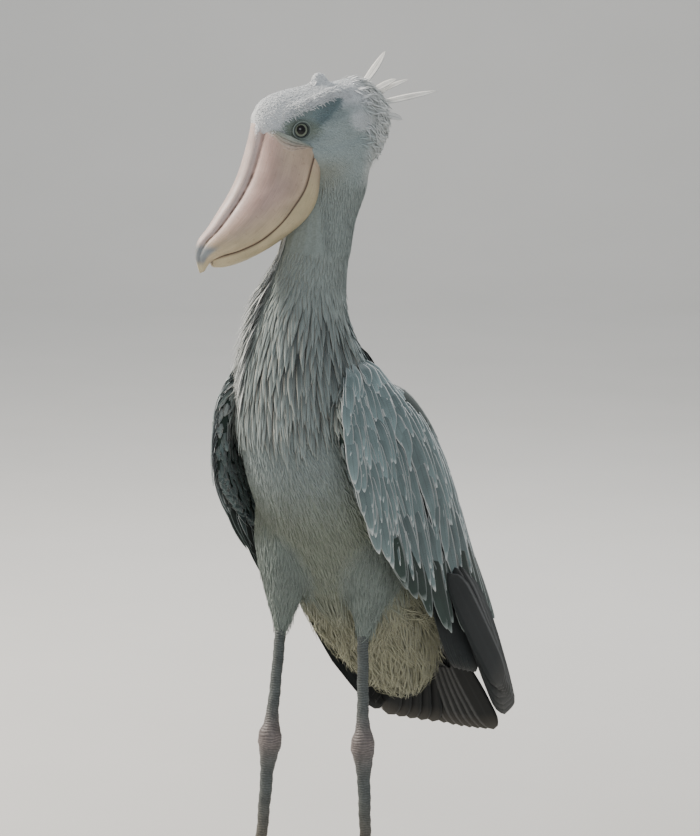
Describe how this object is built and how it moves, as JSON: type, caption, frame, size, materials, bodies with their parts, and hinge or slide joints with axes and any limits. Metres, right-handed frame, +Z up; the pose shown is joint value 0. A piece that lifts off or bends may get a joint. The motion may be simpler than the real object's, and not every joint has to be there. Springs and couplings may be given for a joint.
{
  "type": "standing shoebill model",
  "caption": "Life-size still model of a standing shoebill, with its deep hooked bill, short crest, layered wing feathers, fanned tail and long bare legs.",
  "frame": {"origin": "on the floor, under the middle of the whole bird's box", "axes": "+Z up, the bird's breast faces -Y, its left side is +X; the head is turned to its right"},
  "size_m": [0.3834, 0.5664, 1.245],
  "materials": {
    "head_plumage": "soft short feathers, pale blue grey",
    "body_plumage": "soft feathers, grey with dark shaft streaks",
    "wing_plumage": "firm feathers, slate grey with pale edges",
    "tail_plumage": "firm feathers, dark slate",
    "bill_horn": "satin horn, pale pinkish buff with darker blotches",
    "eye": "wet clear surface over a pale grey-blue iris",
    "leg_skin": "dry scaled skin, dark grey",
    "claw_horn": "satin horn, near black"
  },
  "bodies": {
    "root": {"bill_upper": "bill_horn", "bill_lower": "bill_horn", "eye_left": "eye", "eye_right": "eye", "head": "head_plumage", "neck": "body_plumage", "torso": "body_plumage", "wing_left": "wing_plumage", "wing_right": "wing_plumage", "tail": "tail_plumage", "thigh_left": "body_plumage", "shank_left": "leg_skin", "tarsus_left": "leg_skin", "foot_left": "leg_skin", "claw_left_middle": "claw_horn", "claw_left_inner": "claw_horn", "claw_left_outer": "claw_horn", "claw_left_hind": "claw_horn", "thigh_right": "body_plumage", "shank_right": "leg_skin", "tarsus_right": "leg_skin", "foot_right": "leg_skin", "claw_right_middle": "claw_horn", "claw_right_inner": "claw_horn", "claw_right_outer": "claw_horn", "claw_right_hind": "claw_horn"}
  },
  "joints": []
}
